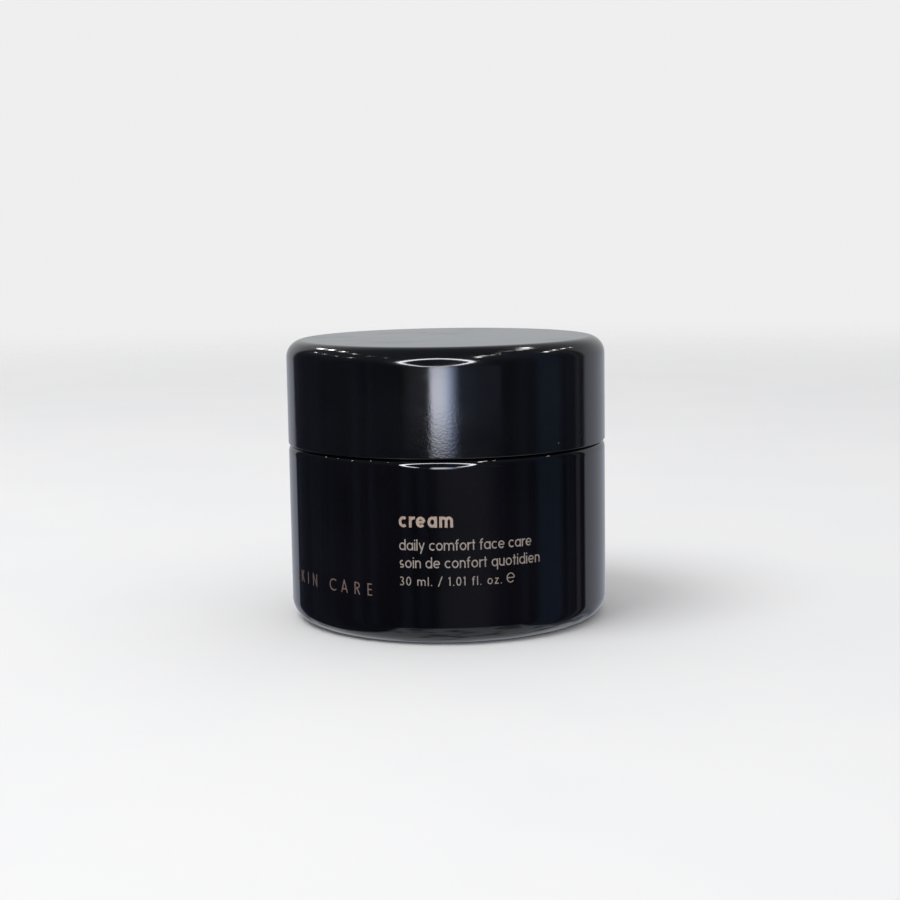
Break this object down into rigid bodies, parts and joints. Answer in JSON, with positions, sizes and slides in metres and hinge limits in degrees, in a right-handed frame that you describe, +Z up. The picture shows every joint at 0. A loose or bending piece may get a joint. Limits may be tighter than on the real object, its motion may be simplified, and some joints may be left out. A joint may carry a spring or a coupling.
{
  "type": "cosmetic cream jar",
  "caption": "Glossy near-black glass cream jar with a flat-topped screw lid of the same width; the lid unscrews and lifts off a dished sealing disc over the cream.",
  "frame": {"origin": "centre of the circle that the jar stands on", "axes": "+Z up along the jar's axis, -Y towards the printed front"},
  "size_m": [0.053, 0.053, 0.0465],
  "materials": {
    "dark_glass": "near-black violet glass, fire-polished gloss, with a fine pale printed text",
    "cream": "soft off-white cream with a moist sheen",
    "disc_plastic": "satin moulded white plastic",
    "liner_foam": "fine closed-cell foam with a thin facing",
    "insert_plastic": "satin black moulded plastic",
    "lid_plastic": "high-gloss black plastic with fine handling marks"
  },
  "bodies": {
    "jar": {"glass_jar": "dark_glass", "cream": "cream"},
    "disc": {"sealing_disc": "disc_plastic"},
    "liner": {"lid_liner": "liner_foam"},
    "lid": {"lid_insert": "insert_plastic", "lid_shell": "lid_plastic"}
  },
  "joints": [
    {"name": "lid_rise", "type": "slide", "parent": "jar", "child": "liner", "axis": [0, 0, 1], "range_m": [0, 0.03201]},
    {"name": "lid_turn", "type": "hinge", "parent": "liner", "child": "lid", "pos_m": [0, 0, 0.043], "axis": [0, 0, 1], "range_deg": [0, 1440]},
    {"name": "disc_lift", "type": "slide", "parent": "jar", "child": "disc", "axis": [0, 0, 1], "range_m": [0, 0.01441]}
  ],
  "couplings": [
    {"joint": "lid_rise", "follows": "lid_turn", "m_per_rad": 0.0012732},
    {"joint": "disc_lift", "follows": "lid_turn", "m_per_rad": 0.00057296}
  ]
}
